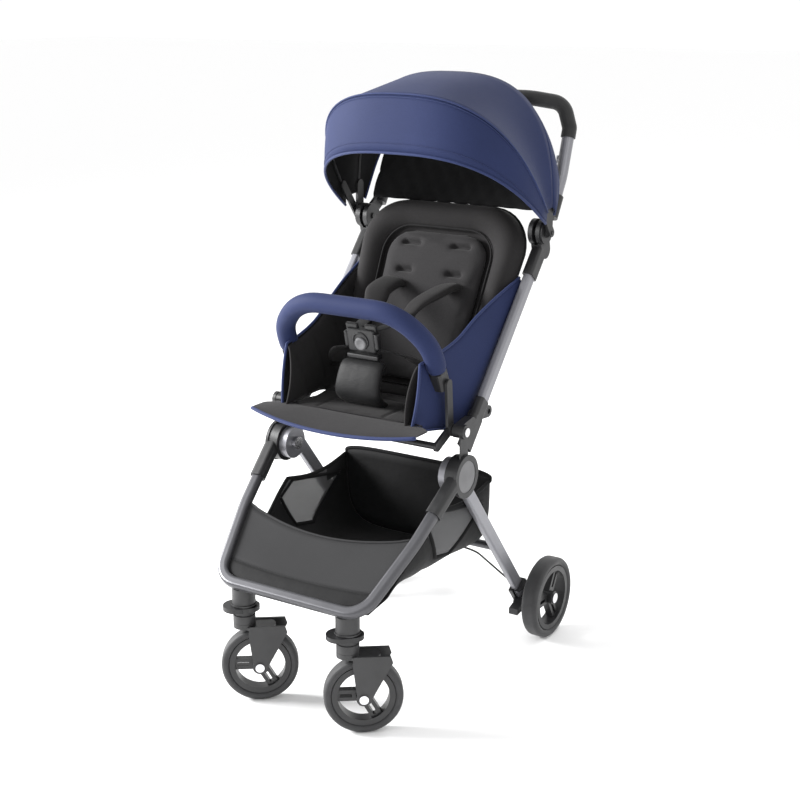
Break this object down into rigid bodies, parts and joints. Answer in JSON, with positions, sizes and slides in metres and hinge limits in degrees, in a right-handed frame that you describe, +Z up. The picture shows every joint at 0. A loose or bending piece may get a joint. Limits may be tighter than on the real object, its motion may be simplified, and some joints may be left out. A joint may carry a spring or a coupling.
{
  "type": "baby stroller",
  "caption": "Folding baby stroller with a canopy, a padded seat and backrest, a bumper bar, a basket, an arched handle and swivelling front wheels.",
  "frame": {"origin": "centre of the stroller's outline, on the ground it stands on", "axes": "-Y points to the front, the way the child looks; +Z is up; +X is across, towards the parts named right"},
  "size_m": [0.476, 0.6785, 1.0915],
  "materials": {
    "frame_grey": "satin powder coat, dark grey",
    "frame_silver": "satin powder coat, silver grey",
    "steel": "bright",
    "black_plastic": "fine grain",
    "cap_plastic": "smooth, dark grey",
    "navy_cloth": "woven, plain",
    "seat_cloth": "woven, melange",
    "black_cloth": "woven, plain",
    "mesh_cloth": "woven, plain",
    "tyre": "matt, smooth tread",
    "wheel_plastic": "smooth",
    "grip_foam": "matt foam",
    "cable": "matt",
    "button_grey": "smooth, light grey"
  },
  "bodies": {
    "front_frame": {"front_frame": "frame_grey", "front_sockets": "black_plastic", "hub_covers": "black_plastic", "hub_caps": "cap_plastic", "hub_pins": "steel", "caster_columns": "black_plastic", "footrest_panel": "seat_cloth", "basket": "mesh_cloth"},
    "rear_frame": {"rear_legs": "frame_silver", "rear_cross_tube": "frame_grey", "rear_brackets": "black_plastic", "rear_axles": "steel", "brake_cable": "cable"},
    "brake_pedal": {"brake_pedal": "black_plastic"},
    "rear_wheel_left": {"rear_tyre_left": "tyre", "rear_rim_left": "wheel_plastic"},
    "rear_wheel_right": {"rear_tyre_right": "tyre", "rear_rim_right": "wheel_plastic"},
    "swivel_lock_left": {"swivel_lock_left": "black_plastic"},
    "swivel_lock_right": {"swivel_lock_right": "black_plastic"},
    "caster_left": {"caster_fork_left": "black_plastic", "front_bolt_left": "steel"},
    "caster_right": {"caster_fork_right": "black_plastic", "front_bolt_right": "steel"},
    "front_wheel_left": {"front_tyre_left": "tyre", "front_rim_left": "wheel_plastic"},
    "front_wheel_right": {"front_tyre_right": "tyre", "front_rim_right": "wheel_plastic"},
    "upper_frame": {"side_tubes": "frame_silver", "side_sleeves": "black_plastic", "fold_pins": "steel", "mid_blocks": "black_plastic", "block_covers": "black_plastic", "side_wing_left": "navy_cloth", "side_wing_right": "navy_cloth"},
    "handle": {"handle_tube": "frame_silver", "handle_grips": "grip_foam", "handle_knuckles": "black_plastic", "canopy_rear": "navy_cloth"},
    "handle_button": {"handle_button": "button_grey"},
    "canopy_mid": {"canopy_clamps": "black_plastic", "canopy_mid_bow": "black_plastic"},
    "canopy_front": {"canopy_front_bow": "black_plastic", "canopy_front_panel": "navy_cloth", "canopy_visor": "navy_cloth"},
    "seat": {"seat_base": "seat_cloth", "seat_flap": "seat_cloth", "seat_arms": "black_plastic", "crotch_pad": "black_cloth", "buckle": "black_plastic"},
    "buckle_button": {"buckle_button": "black_plastic"},
    "recline_frame": {"recline_bar": "frame_grey"},
    "backrest": {"backrest": "seat_cloth", "backrest_pad": "seat_cloth", "shoulder_pads": "black_cloth"},
    "bumper_socket": {"bumper_ends": "black_plastic"},
    "bumper": {"bumper_bar": "navy_cloth"},
    "bumper_tabs": {"bumper_tabs": "black_plastic"}
  },
  "joints": [
    {"name": "fold", "type": "hinge", "parent": "front_frame", "child": "upper_frame", "pos_m": [0, -0.0745, 0.495], "axis": [1, 0, 0], "range_deg": [0, 106], "deforming": ["side_wing_left", "side_wing_right", "footrest_panel"]},
    {"name": "rear_fold", "type": "hinge", "parent": "front_frame", "child": "rear_frame", "pos_m": [0, -0.0715, 0.413], "axis": [1, 0, 0], "range_deg": [-52.5, 0], "deforming": ["basket"]},
    {"name": "seat_fold", "type": "hinge", "parent": "front_frame", "child": "seat", "pos_m": [0, -0.0745, 0.495], "axis": [1, 0, 0], "range_deg": [0, 40], "deforming": ["seat_flap", "crotch_pad"]},
    {"name": "handle_fold", "type": "hinge", "parent": "upper_frame", "child": "handle", "pos_m": [0, 0.2135, 0.805], "axis": [1, 0, 0], "range_deg": [0, 95], "deforming": ["canopy_visor"]},
    {"name": "backrest_fold", "type": "hinge", "parent": "upper_frame", "child": "recline_frame", "pos_m": [0, 0.0445, 0.501], "axis": [1, 0, 0], "range_deg": [-30.5, 0], "deforming": ["backrest", "backrest_pad", "shoulder_pads"]},
    {"name": "bumper_fold", "type": "hinge", "parent": "seat", "child": "bumper_socket", "pos_m": [0, -0.08092, 0.57825], "axis": [1, 0, 0], "range_deg": [0, 19]},
    {"name": "bumper_pull", "type": "slide", "parent": "bumper_socket", "child": "bumper", "axis": [0, -0.4067, 0.9135], "range_m": [0, 0.06]},
    {"name": "bumper_tabs", "type": "slide", "parent": "bumper_socket", "child": "bumper_tabs", "axis": [0, 0.4067, -0.9135], "range_m": [0, 0.002], "stiffness_N_per_m": 500},
    {"name": "buckle_button", "type": "slide", "parent": "seat", "child": "buckle_button", "axis": [0, 0.9781, 0.2079], "range_m": [0, 0.003], "stiffness_N_per_m": 500},
    {"name": "handle_button", "type": "slide", "parent": "handle", "child": "handle_button", "axis": [1, 0, 0], "range_m": [0, 0.002], "stiffness_N_per_m": 500},
    {"name": "canopy_mid_tilt", "type": "hinge", "parent": "handle", "child": "canopy_mid", "pos_m": [0, 0.2135, 0.805], "axis": [-1, 0, 0], "range_deg": [0, 8], "deforming": ["canopy_rear"]},
    {"name": "canopy_front_tilt", "type": "hinge", "parent": "canopy_mid", "child": "canopy_front", "pos_m": [0, 0.2135, 0.805], "axis": [-1, 0, 0], "range_deg": [0, 30], "deforming": ["canopy_front_panel"]},
    {"name": "recline", "type": "hinge", "parent": "recline_frame", "child": "backrest", "pos_m": [0, 0.0445, 0.501], "axis": [1, 0, 0], "range_deg": [-30, 0]},
    {"name": "brake", "type": "hinge", "parent": "rear_frame", "child": "brake_pedal", "pos_m": [0, 0.1945, 0.072], "axis": [1, 0, 0], "range_deg": [0, 18]},
    {"name": "caster_swivel_left", "type": "hinge", "parent": "front_frame", "child": "caster_left", "pos_m": [-0.112, -0.3045, 0.15], "axis": [0, 0, 1], "continuous": true},
    {"name": "front_wheel_left", "type": "hinge", "parent": "caster_left", "child": "front_wheel_left", "pos_m": [-0.09124, -0.28885, 0.069], "axis": [0.6018, -0.7986, 0], "continuous": true},
    {"name": "rear_wheel_left", "type": "hinge", "parent": "rear_frame", "child": "rear_wheel_left", "pos_m": [-0.2185, 0.2305, 0.08], "axis": [1, 0, 0], "continuous": true},
    {"name": "swivel_lock_left", "type": "slide", "parent": "front_frame", "child": "swivel_lock_left", "axis": [0, 0, -1], "range_m": [0, 0.006]},
    {"name": "caster_swivel_right", "type": "hinge", "parent": "front_frame", "child": "caster_right", "pos_m": [0.112, -0.3045, 0.15], "axis": [0, 0, 1], "continuous": true},
    {"name": "front_wheel_right", "type": "hinge", "parent": "caster_right", "child": "front_wheel_right", "pos_m": [0.13276, -0.28885, 0.069], "axis": [0.6018, -0.7986, 0], "continuous": true},
    {"name": "rear_wheel_right", "type": "hinge", "parent": "rear_frame", "child": "rear_wheel_right", "pos_m": [0.2185, 0.2305, 0.08], "axis": [1, 0, 0], "continuous": true},
    {"name": "swivel_lock_right", "type": "slide", "parent": "front_frame", "child": "swivel_lock_right", "axis": [0, 0, -1], "range_m": [0, 0.006]}
  ],
  "couplings": [
    {"joint": "rear_fold", "follows": "fold", "ratio": -0.49107},
    {"joint": "seat_fold", "follows": "fold", "ratio": 0.375},
    {"joint": "handle_fold", "follows": "fold", "ratio": 0.89286},
    {"joint": "backrest_fold", "follows": "fold", "ratio": -0.28571},
    {"joint": "bumper_fold", "follows": "fold", "ratio": 0.17857},
    {"joint": "canopy_front_tilt", "follows": "canopy_mid_tilt", "ratio": 3.6}
  ]
}
